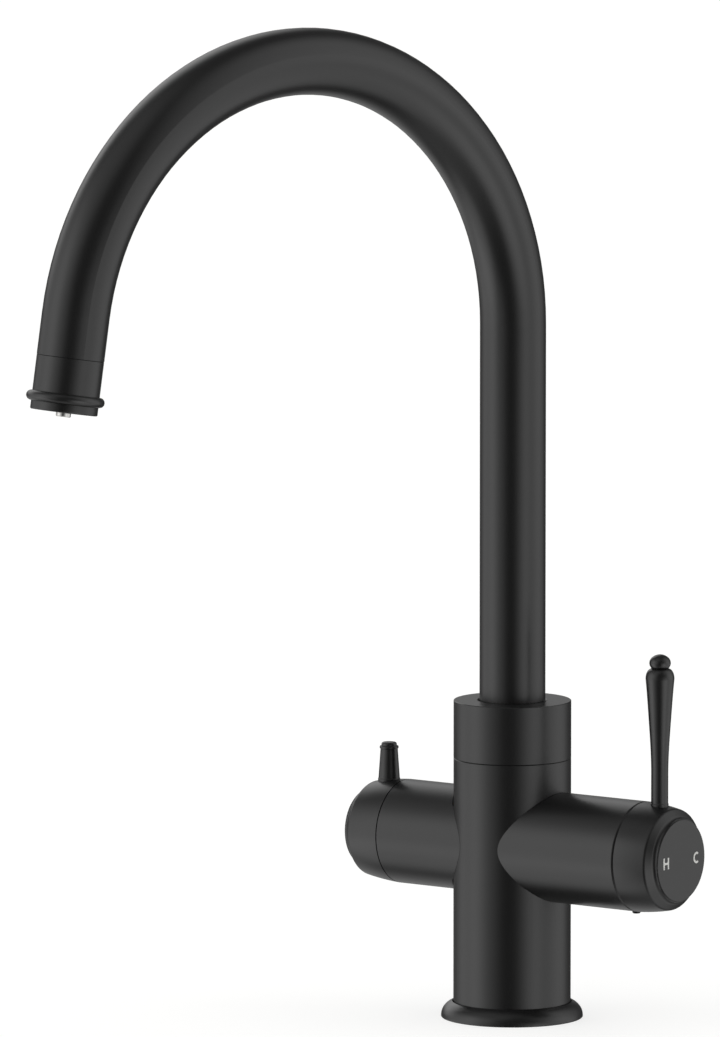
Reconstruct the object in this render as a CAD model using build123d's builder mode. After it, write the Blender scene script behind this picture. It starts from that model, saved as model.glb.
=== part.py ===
from build123d import *
import os
from math import asin, cos, degrees, radians, sin, sqrt, tan

# Three-way filtered water tap, in millimetres.
# The origin is on the body's axis at the deck. +Z is up, +X is the mixer arm,
# -X is the filter arm and -Y is the front, where the user stands.

# Clearances
press_clearance = 0.05      # parts that are pushed or screwed together
running_clearance = 0.06    # shafts and barrels that turn, on the radius
sliding_gap = 0.05          # flat faces that slide or turn on each other
cover_clearance = 0.3       # cover tubes over their housings
seam_chamfer = 0.25         # edge break that shows as a fine dark seam
thread_play = 0.05          # room under the end of a screwed-in pin

# Body
body_radius = 25.0
arm_height = 74.8

# Base flange
flange_overhang = 5.2       # beyond the body
flange_edge_height = 0.7
flange_dome_width = 7.4
flange_dome_rise = 6.5
foot_groove = 0.5
foot_seat_height = 2.5
flange_lip = 4.0
base_seal_inset = 4.7       # from the flange's edge to the seal's middle
base_seal_width = 3.0
base_seal_thickness = 1.5

# Supply side, under the body
shank_socket_radius = 15.7  # M33 x 1.5 socket for the fixing shank
shank_socket_length = 29.5
hose_socket_radius = 4.45   # M10 x 1 sockets for the three hoses
hose_socket_depth = 12.0
hose_circle_radius = 9.2
waterway_radius = 2.8       # hot, cold and mixed water
filtered_waterway_radius = 1.5
port_circle_radius = 7.0    # three ports of the mixer cartridge

# Swivel joint between body and spout
hub_radius = 17.0
hub_bore_radius = 9.5
hub_neck_length = 16.0
glide_ring_thickness = 1.7
chamber_floor_wall = 1.2
upper_ring_thickness = 2.0
spigot_height = 6.75
spigot_wall = 4.0
collar_roof = 15.95         # the collar above its glide ring
hub_seal_section = 1.86
hub_seal_groove_width = 2.6
hub_seal_spacing = 4.4
stop_groove_depth = 2.2
stop_tip_radius = 1.5
stop_screw_radius = 2.0
stop_screw_recess = 1.4
stop_rise = 5.7             # from the upper seal up to the stop screw
stop_drop = 6.8             # from the body's top down to the stop screw
swivel_half_range = 150.0
swivel_rest = -15.05        # the spout stands this far from the front, towards -X

# Spout
spout_radius = 14.0
spout_wall = 1.3
spout_bore_gap = 0.35
collar_mouth_chamfer = 0.7
arch_radius = 117.2
arch_spring_height = 296.8
outlet_lean = 9.2
outlet_straight = 17.35

# Filtered water pipe inside the spout
pipe_radius = 4.0
pipe_wall = 1.0
stub_length = 20.0
stub_overlap = 10.0
stub_root_extra = 0.3
stub_seal_section = 0.72
pipe_into_outlet = 9.0

# Outlet
outlet_step = 0.05          # the collar is this much slimmer than the tube
outlet_length = 22.6
outlet_spigot_length = 8.0
bead_height = 2.3
bead_start = 14.85
bead_width = 4.2
lip_round = 0.6
aerator_radius = 10.7
aerator_length = 7.4
aerator_inset = 1.1
aerator_seal_width = 1.7
aerator_seal_thickness = 1.3
aerator_hole_radius = 0.6
nozzle_shank_radius = 3.6
nozzle_tip_radius = 3.1
nozzle_bore_radius = 1.8
nozzle_proud = 1.8
nozzle_socket_wall = 1.0
nozzle_socket_depth = 6.0

# Mixer arm, measured along +X from the body's axis
mixer_sleeve_radius = 23.4
mixer_sleeve_wall = 2.7
mixer_sleeve_overhang = 6.0 # beyond the cartridge's nut
mixer_knob_gap = 0.9
mixer_spigot_radius = 14.0
arm_socket_floor = 13.0
housing_start_gap = 1.0
housing_floor = 5.0
cope_relief = 0.4           # wider seam above and below the arm's middle
cope_relief_angle = 45.0
sleeve_screw_radius = 1.75
sleeve_screw_offset = 3.1
sleeve_screw_proud = 1.1

# Cartridge
cartridge_radius = 17.5
cartridge_wall = 2.5
cartridge_base_length = 3.5
cartridge_seal_thickness = 1.1
cartridge_seal_width = 1.6
fixed_disc_radius = 13.0
disc_thickness = 2.7
moving_disc_radius = 12.2
disc_pocket_depth = 1.2
disc_rim_width = 1.5
disc_sealing_land = 0.3
carrier_plate = 4.0
carrier_tongue = 2.0
carrier_tongue_width = 10.0
carrier_tongue_length = 14.0
turret_flange_length = 4.0
turret_neck_radius = 11.92
turret_rise = 9.5           # from the tilt pivot to the turret's end
shell_rise = 8.5            # from the tilt pivot to the shell's end
tilt_range = 16.0
stem_foot_arm = 8.0         # from the ball's centre to the tilt pivot
stem_foot_rise = 2.05       # from the carrier's lower face to the ball's centre
stem_foot_radius = 1.9
stem_neck_radius = 1.7
stem_width = 7.0
stem_block_drop = 2.4       # the square block starts below the pivot
stem_reach = 3.1            # beyond the knob's rear rim
pivot_pin_radius = 1.5
nut_margin = 0.7            # round the turret's neck
nut_notch = 3.0
nut_length = 3.0

# Dome under the tilting knob
dome_wall = 1.5
dome_skirt_wall = 1.6
dome_opening_margin = 1.2   # degrees beyond the hub at full tilt

# Knobs: rim, raised boss and face plate
mixer_knob_length = 14.5    # from the seam to the rim
mixer_rim_drop = 1.9
mixer_bevel_rise = 2.05     # the front slopes up, then hollows round to the face plate
mixer_bevel_width = 2.65
mixer_front_rise = 1.85
mixer_front_width = 1.2
knob_crown = 0.28           # the knob's side swells this much over a straight taper
knob_rim_round = 1.7
front_hollow = 0.35          # depth of the hollow between bevel and face plate
plate_land = 0.25            # flat land round the face plate
plate_thickness = 2.0
plate_proud = 0.5
knob_hub_radius = 6.8
knob_hub_gap = 2.0          # between the cartridge's nut and the knob's hub
knob_screw_radius = 2.5
knob_screw_head_radius = 4.8
knob_screw_head_height = 3.4
knob_screw_grip = 5.5
plate_spigot_length = 2.5
plate_edge_round = 0.3

# Mixer lever, turned about a vertical axis
lever_from_seam = 7.7
lever_ring_radius = 3.8
lever_ring_height = 1.3
lever_spot_depth = 1.45     # spot face in the knob's top
lever_shaft_radius = 3.62
lever_shaft_length = 13.2
lever_waist_radius = 4.65
lever_waist_rise = 21.5     # from the shaft's top to the waist
lever_bulge_radius = 6.1
lever_bulge_rise = 18.5     # from the waist to the widest place
lever_flare = 0.1           # slope of the grip where it is widest
lever_neck_radius = 3.5
lever_shoulder = 4.3
finial_radius = 4.5
finial_rise = 2.8
finial_cap = 3.2
finial_crown_radius = 3.3
finial_crown_rise = 1.2
lever_spigot_radius = 2.45
lever_spigot_length = 2.3

# Filter arm, measured along -X from the body's axis
filter_sleeve_radius = 22.3
filter_sleeve_wall = 2.5
filter_sleeve_overhang = 1.25   # beyond the headwork
filter_knob_gap = 0.5
filter_spigot_radius = 12.0
filter_floor = 7.0
sleeve_lip_radius = 14.0
sleeve_lip_length = 1.5
headwork_radius = 9.4
headwork_relief = 1.0       # waterway round the barrel
headwork_wall = 0.8
headwork_barrel_length = 26.0
headwork_flange_inset = 1.8
headwork_flange_length = 2.5
headwork_chamber_length = 8.0
filter_disc_thickness = 2.5
filter_disc_play = 0.3
filter_disc_port_radius = 2.2
filter_disc_rim = 0.2
filter_seat_length = 4.0
filter_spindle_radius = 5.0
filter_spline_radius = 4.0
filter_spline_gap = 3.5     # between the headwork and the spline
filter_spline_length = 7.5
filter_foot_length = 2.6
filter_turn_range = 90.0
filter_seat_bore = 4.0
filter_outlet_radius = 1.4
filter_knob_length = 15.95  # from the seam to the rim
filter_rim_drop = 1.95
filter_bevel_rise = 2.15
filter_bevel_width = 2.35
filter_front_rise = 2.05
filter_front_width = 1.4
filter_knob_wall = 3.8
filter_web_gap = 1.0        # between the spindle's end and the knob's web

# Filter lever, turned about a vertical axis
filter_lever_from_seam = 8.9
filter_spot_depth = 1.6
filter_ring_radius = 4.75
filter_ring_height = 1.3
filter_lever_foot_radius = 4.58
filter_lever_top_radius = 3.7
filter_bead_radius = 4.05
filter_pin_length = 12.8
filter_bead_width = 1.35
filter_bead_round = 0.45
filter_cap_radius = 3.3
filter_cap_height = 1.5
filter_cap_round = 0.9
filter_spigot_depth = 1.9

# Worked out: flange and body
flange_radius = body_radius + flange_overhang
base_seal_radius = flange_radius - base_seal_inset
shank_socket_top = foot_seat_height + shank_socket_length
housing_start = body_radius + housing_start_gap

# Worked out: swivel joint, from the chamber's floor up
mixer_spigot_bore = mixer_spigot_radius + press_clearance
chamber_floor = arm_height + mixer_spigot_bore + chamber_floor_wall
hub_bore_in_body = hub_radius + running_clearance
hub_bottom = chamber_floor + glide_ring_thickness + sliding_gap
seal_heights = [hub_bottom + hub_seal_groove_width + n * hub_seal_spacing for n in range(2)]
stop_height = seal_heights[-1] + stop_rise
body_top_height = stop_height + stop_drop
spigot_top = body_top_height + spigot_height
hub_top = spigot_top - sliding_gap
spigot_radius = hub_bore_in_body + spigot_wall
collar_ceiling = spigot_top + upper_ring_thickness
collar_top_height = collar_ceiling + collar_roof

# Worked out: spout and filtered pipe
spout_bore = spout_radius - spout_wall
outlet_radius = spout_radius - outlet_step
bead_radius = outlet_radius + bead_height
pipe_bore = pipe_radius - pipe_wall
stub_radius = pipe_bore - running_clearance
stub_root_radius = stub_radius + stub_root_extra

# Worked out: mixer arm, from the body outwards
mixer_housing_radius = mixer_sleeve_radius - mixer_sleeve_wall - cover_clearance
cartridge_bore = cartridge_radius + press_clearance
housing_floor_end = housing_start + housing_floor
fixed_disc_start = housing_floor_end + cartridge_base_length
moving_disc_start = fixed_disc_start + disc_thickness + sliding_gap
carrier_start = moving_disc_start + disc_thickness
tongue_start = carrier_start + carrier_plate
tongue_end = tongue_start + carrier_tongue
turret_start = tongue_start + cover_clearance
foot_place = carrier_start + stem_foot_rise
tilt_pivot = foot_place + stem_foot_arm
stem_block_start = tilt_pivot - stem_block_drop
turret_end = tilt_pivot + turret_rise
shell_end = tilt_pivot + shell_rise
mixer_housing_end = shell_end + nut_length
knob_hub_start = mixer_housing_end + knob_hub_gap
mixer_sleeve_end = mixer_housing_end + mixer_sleeve_overhang
mixer_knob_start = mixer_sleeve_end + mixer_knob_gap
stem_end = mixer_knob_start + stem_reach
knob_sphere = sqrt((mixer_knob_start - tilt_pivot) ** 2 + mixer_sleeve_radius**2)
sleeve_sphere = sqrt((mixer_sleeve_end - tilt_pivot) ** 2 + mixer_sleeve_radius**2)
dome_sphere = sleeve_sphere - sliding_gap
mixer_rim = mixer_knob_start + mixer_knob_length
mixer_rim_radius = mixer_sleeve_radius - mixer_rim_drop
mixer_step = mixer_rim + mixer_bevel_rise
mixer_step_radius = mixer_rim_radius - mixer_bevel_width
mixer_land = mixer_step + mixer_front_rise
mixer_plate_radius = mixer_step_radius - mixer_front_width - plate_land
mixer_plate_seat = mixer_land + plate_proud - plate_thickness
lever_offset = mixer_knob_start + lever_from_seam
lever_foot = arm_height + mixer_sleeve_radius - lever_spot_depth
lever_shaft_top = lever_foot + lever_ring_height + lever_shaft_length
lever_waist_height = lever_shaft_top + lever_waist_rise
lever_bulge_height = lever_waist_height + lever_bulge_rise
lever_neck_height = lever_bulge_height + lever_shoulder
finial_height = lever_neck_height + finial_rise
lever_top = finial_height + finial_cap

# Worked out: filter arm, from the body outwards
filter_housing_radius = filter_sleeve_radius - filter_sleeve_wall - cover_clearance
filter_port_rise = headwork_radius - filter_outlet_radius
headwork_chamber_radius = headwork_radius - headwork_relief - headwork_wall
filter_housing_floor = arm_socket_floor + filter_floor
headwork_start = filter_housing_floor + filter_seat_length
filter_housing_end = headwork_start + headwork_barrel_length
flange_start = filter_housing_end + sleeve_lip_length
headwork_end = flange_start + headwork_flange_length
filter_sleeve_end = headwork_end + filter_sleeve_overhang
filter_knob_start = filter_sleeve_end + filter_knob_gap
filter_spline_start = headwork_end + filter_spline_gap
filter_spline_end = filter_spline_start + filter_spline_length
filter_hub_start = filter_spline_start + cover_clearance
filter_knob_web = filter_spline_end + filter_web_gap
filter_knob_bore = filter_sleeve_radius - filter_knob_wall
filter_rim = filter_knob_start + filter_knob_length
filter_rim_radius = filter_sleeve_radius - filter_rim_drop
filter_step = filter_rim + filter_bevel_rise
filter_step_radius = filter_rim_radius - filter_bevel_width
filter_land = filter_step + filter_front_rise
filter_plate_radius = filter_step_radius - filter_front_width - plate_land
filter_plate_seat = filter_land + plate_proud - plate_thickness
filter_lever_offset = filter_knob_start + filter_lever_from_seam
pin_foot = arm_height + filter_sleeve_radius - filter_spot_depth
filter_bead_height = pin_foot + filter_ring_height + filter_pin_length
filter_lever_top = filter_bead_height + filter_bead_width + filter_cap_height

# Planes. On each arm's cross plane local Z runs outwards and local Y is up.
# On each arm's section plane local X runs outwards and local Y is up.
mixer_cross = Plane(origin=(0, 0, arm_height), x_dir=(0, 1, 0), z_dir=(1, 0, 0))
mixer_section = Plane(origin=(0, 0, arm_height), x_dir=(1, 0, 0), z_dir=(0, -1, 0))
mixer_axis = Axis((0, 0, arm_height), (1, 0, 0))
filter_cross = Plane(origin=(0, 0, arm_height), x_dir=(0, -1, 0), z_dir=(-1, 0, 0))
filter_section = Plane(origin=(0, 0, arm_height), x_dir=(-1, 0, 0), z_dir=(0, 1, 0))
filter_axis = Axis((0, 0, arm_height), (-1, 0, 0))

# The spout's plane, with local X reaching out and local Y up.
swing = radians(swivel_rest)
spout_reach = Vector(sin(swing), -cos(swing), 0)
spout_plane = Plane(origin=(0, 0, 0), x_dir=spout_reach, z_dir=spout_reach.cross(Vector(0, 0, 1)))
lean = radians(outlet_lean)
arch_end = (arch_radius * (1 + cos(lean)), arch_spring_height + arch_radius * sin(lean))
arch_crown = (arch_radius, arch_spring_height + arch_radius)
outlet_seam = (
    arch_end[0] + outlet_straight * sin(lean),
    arch_end[1] - outlet_straight * cos(lean),
)
outlet_origin = spout_plane.from_local_coords(Vector(*outlet_seam, 0))
outlet_direction = spout_reach * sin(lean) - Vector(0, 0, cos(lean))
outlet_plane = Plane(origin=outlet_origin, x_dir=spout_plane.z_dir, z_dir=outlet_direction)
outlet_section = Plane(
    origin=outlet_origin,
    x_dir=outlet_direction,
    z_dir=outlet_direction.cross(spout_plane.z_dir),
)
outlet_axis = Axis(outlet_origin, outlet_direction)

os.makedirs("parts", exist_ok=True)


def save(piece, name):
    """Label a finished piece and write it as one STEP file."""
    piece.part.label = name
    export_step(piece.part, f"parts/{name}.step")


def sphere_reach(sphere, radius):
    """Distance along the mixer arm at which a sphere about the tilt pivot has a given radius."""
    return tilt_pivot + sqrt(sphere**2 - radius**2)


def sphere_point(sphere, angle):
    """Point on a sphere about the tilt pivot, as (along, radius), at an angle from the axis."""
    return (tilt_pivot + sphere * cos(angle), sphere * sin(angle))


# Base flange: a domed ring with a seat for the body and a groove for its seal
with BuildPart() as base_flange:
    dome_radius = flange_radius - flange_dome_width
    groove_radius = body_radius + foot_groove
    groove_share = (groove_radius - dome_radius) / flange_dome_width
    groove_top = flange_edge_height + flange_dome_rise * sqrt(1 - groove_share**2)
    with BuildSketch(Plane.XZ):
        with BuildLine():
            Polyline(
                (groove_radius, groove_top),
                (groove_radius, foot_seat_height),
                (shank_socket_radius + flange_lip, foot_seat_height),
                (shank_socket_radius + flange_lip, 0),
                (flange_radius - seam_chamfer, 0),
                (flange_radius, seam_chamfer),
                (flange_radius, flange_edge_height),
            )
            EllipticalCenterArc(
                center=(dome_radius, flange_edge_height),
                x_radius=flange_dome_width,
                y_radius=flange_dome_rise,
                start_angle=0,
                arc_size=90 - degrees(asin(groove_share)),
            )
        make_face()
    revolve(axis=Axis.Z)
    with BuildSketch(Plane.XY):
        Circle(base_seal_radius + base_seal_width / 2 + press_clearance)
        Circle(base_seal_radius - base_seal_width / 2 - press_clearance, mode=Mode.SUBTRACT)
    extrude(amount=base_seal_thickness + press_clearance, mode=Mode.SUBTRACT)
save(base_flange, "base_flange")

with BuildPart() as base_seal:
    with BuildSketch(Plane.XY):
        Circle(base_seal_radius + base_seal_width / 2)
        Circle(base_seal_radius - base_seal_width / 2, mode=Mode.SUBTRACT)
    extrude(amount=base_seal_thickness)
save(base_seal, "base_seal")

# Body: the upright casting with its supply sockets, waterways and arm sockets
hot_socket = (hose_circle_radius * cos(radians(60)), -hose_circle_radius * sin(radians(60)))
cold_socket = (hot_socket[0], -hot_socket[1])
filtered_socket = (-hose_circle_radius, 0)
port_rise = port_circle_radius * sin(radians(30))
port_spread = port_circle_radius * cos(radians(30))
mixed_rise = arm_socket_floor - waterway_radius * 2

with BuildPart() as tap_body:
    with BuildSketch(Plane.XY.offset(foot_seat_height)):
        Circle(body_radius)
    extrude(amount=body_top_height - foot_seat_height)
    chamfer(tap_body.edges().group_by(Axis.Z)[-1], length=seam_chamfer)
    with BuildSketch(Plane.XY.offset(body_top_height)):
        Circle(spigot_radius)
    extrude(amount=spigot_height)
    # Swivel chamber, open at the top
    with BuildSketch(Plane.XY.offset(chamber_floor)):
        Circle(hub_bore_in_body)
    extrude(amount=spigot_top - chamber_floor, mode=Mode.SUBTRACT)
    # Shank socket and the three hose sockets above it
    with BuildSketch(Plane.XY.offset(foot_seat_height)):
        Circle(shank_socket_radius)
    extrude(amount=shank_socket_length, mode=Mode.SUBTRACT)
    with BuildSketch(Plane.XY.offset(shank_socket_top)):
        with PolarLocations(hose_circle_radius, 3, start_angle=60):
            Circle(hose_socket_radius)
    extrude(amount=hose_socket_depth, mode=Mode.SUBTRACT)
    # Arm sockets
    with BuildSketch(mixer_cross.offset(arm_socket_floor)):
        Circle(mixer_spigot_bore)
    extrude(amount=body_radius, mode=Mode.SUBTRACT)
    with BuildSketch(filter_cross.offset(arm_socket_floor)):
        Circle(filter_spigot_radius + press_clearance)
    extrude(amount=body_radius, mode=Mode.SUBTRACT)
    # Hot and cold water rise to their ports in the mixer socket
    with BuildSketch(Plane.XY.offset(shank_socket_top)):
        with Locations(hot_socket, cold_socket):
            Circle(waterway_radius)
    extrude(amount=arm_height + port_rise - shank_socket_top, mode=Mode.SUBTRACT)
    with BuildSketch(mixer_cross.offset(hot_socket[0])):
        with Locations((-port_spread, port_rise), (port_spread, port_rise)):
            Circle(waterway_radius)
    extrude(amount=arm_socket_floor - hot_socket[0], mode=Mode.SUBTRACT)
    # Mixed water goes from the socket up to the swivel chamber
    with BuildSketch(mixer_cross.offset(mixed_rise)):
        with Locations((0, -port_circle_radius)):
            Circle(waterway_radius)
    extrude(amount=arm_socket_floor - mixed_rise, mode=Mode.SUBTRACT)
    with BuildSketch(Plane.XY.offset(arm_height - port_circle_radius)):
        with Locations((mixed_rise, 0)):
            Circle(waterway_radius)
    extrude(amount=chamber_floor - arm_height + port_circle_radius, mode=Mode.SUBTRACT)
    # Filtered water rises to the middle of the filter socket
    with BuildSketch(Plane.XY.offset(shank_socket_top)):
        with Locations(filtered_socket):
            Circle(filtered_waterway_radius)
    extrude(amount=arm_height - shank_socket_top, mode=Mode.SUBTRACT)
    with BuildSketch(filter_cross.offset(hose_circle_radius)):
        Circle(filtered_waterway_radius)
    extrude(amount=arm_socket_floor - hose_circle_radius, mode=Mode.SUBTRACT)
    # It comes back above and goes up the middle to the stub
    with BuildSketch(filter_cross):
        with Locations((0, filter_port_rise)):
            Circle(filtered_waterway_radius)
    extrude(amount=arm_socket_floor, mode=Mode.SUBTRACT)
    with BuildSketch(Plane.XY.offset(arm_height + filter_port_rise)):
        Circle(filtered_waterway_radius)
    extrude(amount=chamber_floor - arm_height - filter_port_rise, mode=Mode.SUBTRACT)
    stub_socket_floor = chamber_floor - stub_overlap / 2
    with BuildSketch(Plane.XY.offset(stub_socket_floor)):
        Circle(stub_root_radius + press_clearance)
    extrude(amount=chamber_floor - stub_socket_floor, mode=Mode.SUBTRACT)
    # Hole at the back for the screw that limits the swivel
    stop_plane = Plane(origin=(0, 0, stop_height), x_dir=(1, 0, 0), z_dir=(0, 1, 0))
    with BuildSketch(stop_plane.offset(hub_radius / 2)):
        Circle(stop_screw_radius + press_clearance)
    extrude(amount=body_radius, mode=Mode.SUBTRACT)
save(tap_body, "tap_body")

# Collar: screwed over the body's spigot, it keeps the spout's hub in
with BuildPart() as top_collar:
    with BuildSketch(Plane.XZ):
        with BuildLine():
            Polyline(
                (spigot_radius + press_clearance, body_top_height),
                (body_radius - seam_chamfer, body_top_height),
                (body_radius, body_top_height + seam_chamfer),
                (body_radius, collar_top_height - seam_chamfer),
                (body_radius - seam_chamfer, collar_top_height),
                (spout_radius + spout_bore_gap + collar_mouth_chamfer, collar_top_height),
                (spout_radius + spout_bore_gap, collar_top_height - collar_mouth_chamfer),
                (spout_radius + spout_bore_gap, collar_ceiling),
                (spigot_radius + press_clearance, collar_ceiling),
                close=True,
            )
        make_face()
    revolve(axis=Axis.Z)
save(top_collar, "top_collar")

# Glide rings under and over the hub
with BuildPart() as lower_glide_ring:
    with BuildSketch(Plane.XY.offset(chamber_floor)):
        Circle(hub_radius - press_clearance)
        Circle(hub_radius - spigot_wall, mode=Mode.SUBTRACT)
    extrude(amount=glide_ring_thickness)
save(lower_glide_ring, "lower_glide_ring")

with BuildPart() as upper_glide_ring:
    with BuildSketch(Plane.XY.offset(spigot_top)):
        Circle(spigot_radius)
        Circle(spout_radius + spout_bore_gap, mode=Mode.SUBTRACT)
    extrude(amount=upper_ring_thickness)
save(upper_glide_ring, "upper_glide_ring")

# Spout hub: swivel barrel with two seal grooves, a stop groove and a neck for the tube
seal_centre_radius = hub_radius - hub_seal_section / 2
groove_floor = hub_radius - hub_seal_section - press_clearance
stop_floor = hub_radius - stop_groove_depth
stop_half_angle = degrees(asin((stop_tip_radius + cover_clearance) / stop_floor))
stop_groove_sweep = 2 * (swivel_half_range + stop_half_angle)
stop_groove_start = radians(swivel_rest + 90 - stop_groove_sweep / 2)
stop_groove_plane = Plane(
    origin=(0, 0, 0),
    x_dir=(cos(stop_groove_start), sin(stop_groove_start), 0),
    z_dir=(sin(stop_groove_start), -cos(stop_groove_start), 0),
)

with BuildPart() as spout_hub:
    with BuildSketch(Plane.XY.offset(hub_bottom)):
        Circle(hub_radius)
    extrude(amount=hub_top - hub_bottom)
    with BuildSketch(Plane.XY.offset(hub_top)):
        Circle(spout_bore - press_clearance)
    extrude(amount=hub_neck_length)
    with BuildSketch(Plane.XY.offset(hub_bottom)):
        Circle(hub_bore_radius)
    extrude(amount=hub_top + hub_neck_length - hub_bottom, mode=Mode.SUBTRACT)
    for height in seal_heights:
        with BuildSketch(Plane.XY.offset(height - hub_seal_groove_width / 2)):
            Circle(hub_bore_in_body)
            Circle(groove_floor, mode=Mode.SUBTRACT)
        extrude(amount=hub_seal_groove_width, mode=Mode.SUBTRACT)
    # The stop groove runs all round but for a land on the spout's side
    with BuildSketch(stop_groove_plane):
        with Locations(((stop_floor + hub_bore_in_body) / 2, stop_height)):
            Rectangle(hub_bore_in_body - stop_floor, 2 * (stop_tip_radius + cover_clearance))
    revolve(axis=Axis.Z, revolution_arc=stop_groove_sweep, mode=Mode.SUBTRACT)
save(spout_hub, "spout_hub")

with BuildPart() as spout_seals:
    for height in seal_heights:
        with BuildSketch(Plane.XZ):
            with Locations((seal_centre_radius, height)):
                Circle(hub_seal_section / 2)
        revolve(axis=Axis.Z)
save(spout_seals, "spout_seals")

with BuildPart() as spout_stop_screw:
    screw_face = body_radius - stop_screw_recess
    with BuildSketch(stop_plane.offset(hub_bore_in_body + cover_clearance)):
        Circle(stop_screw_radius)
    extrude(amount=screw_face - hub_bore_in_body - cover_clearance)
    with BuildSketch(stop_plane.offset(stop_floor + cover_clearance)):
        Circle(stop_tip_radius)
    extrude(amount=hub_bore_in_body - stop_floor)
    with BuildSketch(stop_plane.offset(screw_face)):
        RegularPolygon(stop_screw_radius / 2, 6)
    extrude(amount=-stop_screw_radius, mode=Mode.SUBTRACT)
save(spout_stop_screw, "spout_stop_screw")

# Fixed stub that the filtered pipe turns on, with its seal
stub_top = chamber_floor + stub_length
stub_seal_height = stub_top - stub_overlap / 2
with BuildPart() as filtered_stub:
    with BuildSketch(Plane.XY.offset(stub_socket_floor)):
        Circle(stub_root_radius)
    extrude(amount=chamber_floor - stub_socket_floor)
    with BuildSketch(Plane.XY.offset(chamber_floor)):
        Circle(stub_radius)
    extrude(amount=stub_length)
    with BuildSketch(Plane.XY.offset(stub_socket_floor)):
        Circle(filtered_waterway_radius)
    extrude(amount=stub_top - stub_socket_floor, mode=Mode.SUBTRACT)
    with BuildSketch(Plane.XY.offset(stub_seal_height - stub_seal_section / 2)):
        Circle(pipe_bore)
        Circle(stub_radius - stub_seal_section, mode=Mode.SUBTRACT)
    extrude(amount=stub_seal_section, mode=Mode.SUBTRACT)
save(filtered_stub, "filtered_stub")

with BuildPart() as stub_seal:
    with BuildSketch(Plane.XZ):
        with Locations((stub_radius - stub_seal_section / 2, stub_seal_height)):
            Circle(stub_seal_section / 2)
    revolve(axis=Axis.Z)
save(stub_seal, "stub_seal")

# Spout tube and the filtered pipe: riser, arch and straight end on one centre line
with BuildPart() as spout_tube:
    with BuildLine(spout_plane) as tube_path:
        Line((0, hub_top), (0, arch_spring_height))
        ThreePointArc((0, arch_spring_height), arch_crown, arch_end)
        Line(arch_end, outlet_seam)
    with BuildSketch(Plane.XY.offset(hub_top)):
        Circle(spout_radius)
        Circle(spout_bore, mode=Mode.SUBTRACT)
    sweep(path=tube_path.wire())
    end_edges = spout_tube.edges().sort_by_distance(outlet_origin)[:2]
    chamfer(end_edges.sort_by(SortBy.LENGTH)[-1], length=seam_chamfer / 2)
save(spout_tube, "spout_tube")

pipe_end = (
    outlet_seam[0] + pipe_into_outlet * sin(lean),
    outlet_seam[1] - pipe_into_outlet * cos(lean),
)
pipe_bottom = stub_top - stub_overlap
with BuildPart() as filtered_pipe:
    with BuildLine(spout_plane) as pipe_path:
        Line((0, pipe_bottom), (0, arch_spring_height))
        ThreePointArc((0, arch_spring_height), arch_crown, arch_end)
        Line(arch_end, pipe_end)
    with BuildSketch(Plane.XY.offset(pipe_bottom)):
        Circle(pipe_radius)
        Circle(pipe_bore, mode=Mode.SUBTRACT)
    sweep(path=pipe_path.wire())
save(filtered_pipe, "filtered_pipe")

# Outlet collar: spigot inside the tube, bead, lip and the aerator's seat
aerator_bore = aerator_radius + press_clearance
aerator_end = outlet_length - aerator_inset
aerator_start = aerator_end - aerator_length
aerator_seat = aerator_start - aerator_seal_thickness
collar_bore = aerator_radius - aerator_seal_width
bead_end = bead_start + bead_width
with BuildPart() as outlet_collar:
    with BuildSketch(outlet_section):
        with BuildLine():
            Polyline(
                (bead_start, outlet_radius),
                (seam_chamfer, outlet_radius),
                (0, outlet_radius - seam_chamfer),
                (0, spout_bore - press_clearance),
                (-outlet_spigot_length, spout_bore - press_clearance),
                (-outlet_spigot_length, collar_bore),
                (aerator_seat, collar_bore),
                (aerator_seat, aerator_bore),
                (outlet_length - lip_round, aerator_bore),
                (outlet_length, aerator_bore + lip_round),
                (outlet_length, outlet_radius - lip_round),
            )
            RadiusArc(
                (outlet_length, outlet_radius - lip_round),
                (outlet_length - lip_round, outlet_radius),
                -lip_round,
            )
            Line((outlet_length - lip_round, outlet_radius), (bead_end, outlet_radius))
            ThreePointArc(
                (bead_end, outlet_radius),
                (bead_start + bead_width / 2, bead_radius),
                (bead_start, outlet_radius),
            )
        make_face()
    revolve(axis=outlet_axis)
save(outlet_collar, "outlet_collar")

with BuildPart() as aerator_seal:
    with BuildSketch(outlet_plane.offset(aerator_seat)):
        Circle(aerator_radius)
        Circle(collar_bore, mode=Mode.SUBTRACT)
    extrude(amount=aerator_seal_thickness)
save(aerator_seal, "aerator_seal")

# Aerator: a ring of fine holes round the nozzle
aerator_inner = nozzle_shank_radius + press_clearance
hole_pitch = 4 * aerator_hole_radius
with BuildPart() as aerator:
    with BuildSketch(outlet_plane.offset(aerator_start)):
        Circle(aerator_radius)
        Circle(aerator_inner, mode=Mode.SUBTRACT)
    extrude(amount=aerator_length)
    hole_row = aerator_inner + hole_pitch * 0.75
    while hole_row + hole_pitch / 2 < aerator_radius:
        with BuildSketch(outlet_plane.offset(aerator_start)):
            with PolarLocations(hole_row, int(6.28 * hole_row / hole_pitch)):
                Circle(aerator_hole_radius)
        extrude(amount=aerator_length, mode=Mode.SUBTRACT)
        hole_row += hole_pitch
save(aerator, "aerator")

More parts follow.
